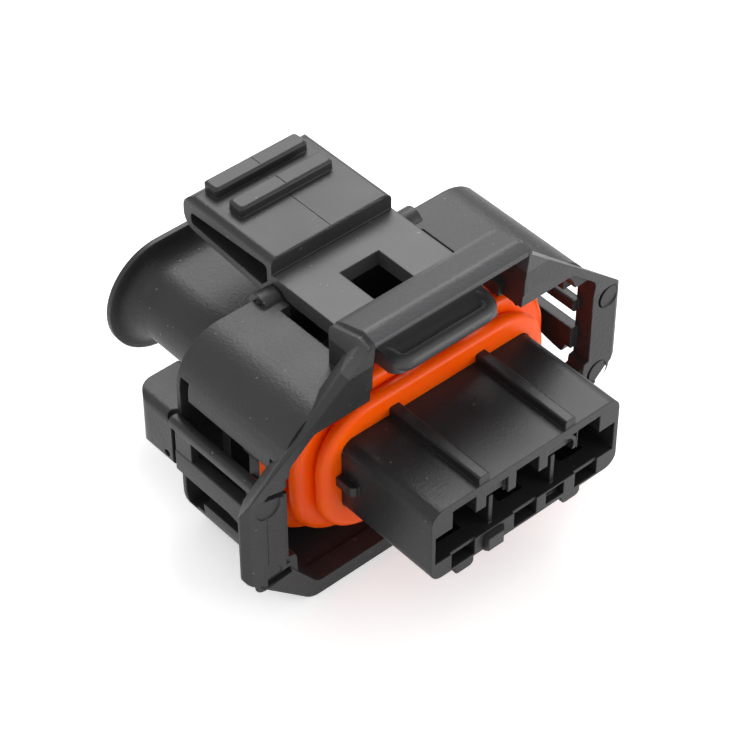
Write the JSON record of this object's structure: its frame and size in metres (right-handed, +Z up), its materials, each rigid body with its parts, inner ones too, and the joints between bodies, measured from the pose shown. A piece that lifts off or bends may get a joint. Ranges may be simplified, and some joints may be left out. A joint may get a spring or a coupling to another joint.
{
  "type": "sealed automotive plug connector",
  "caption": "Sealed automotive plug: flat keyed nose with locking windows, orange radial seal, guard ring with side cages, sprung latch lever under a crossbar and an oval cable outlet.",
  "frame": {"origin": "middle of the nose's front face, at the level of the contacts and of the mating slot", "axes": "+X out of the mating face along the mating direction, +Y to the side, +Z up through the latch lever"},
  "size_m": [0.0289, 0.0306, 0.0192],
  "materials": {
    "housing": "fine moulded grain",
    "latch_lever": "fine moulded grain",
    "contact_carrier": "satin moulded",
    "secondary_lock": "satin moulded",
    "radial_seal": "silicone sheen",
    "contact": "tin plated",
    "contact_spring": "stamped",
    "wire_seal": "silicone sheen"
  },
  "bodies": {
    "plug": {"housing": "housing", "contact_carrier": "contact_carrier", "radial_seal": "radial_seal", "contact_1": "contact", "contact_2": "contact", "contact_3": "contact", "contact_spring_1": "contact_spring", "contact_spring_2": "contact_spring", "contact_spring_3": "contact_spring", "wire_seal_1": "wire_seal", "wire_seal_2": "wire_seal", "wire_seal_3": "wire_seal"},
    "lever": {"latch_lever": "latch_lever"},
    "lock": {"secondary_lock": "secondary_lock"}
  },
  "joints": [
    {"name": "latch_hinge", "type": "hinge", "parent": "plug", "child": "lever", "pos_m": [-0.0169, 0, 0.00685], "axis": [0, -1, 0], "range_deg": [0, 8], "stiffness_Nm_per_rad": 0.05},
    {"name": "lock_slide", "type": "slide", "parent": "plug", "child": "lock", "axis": [1, 0, 0], "range_m": [-0.0012, 0]}
  ]
}
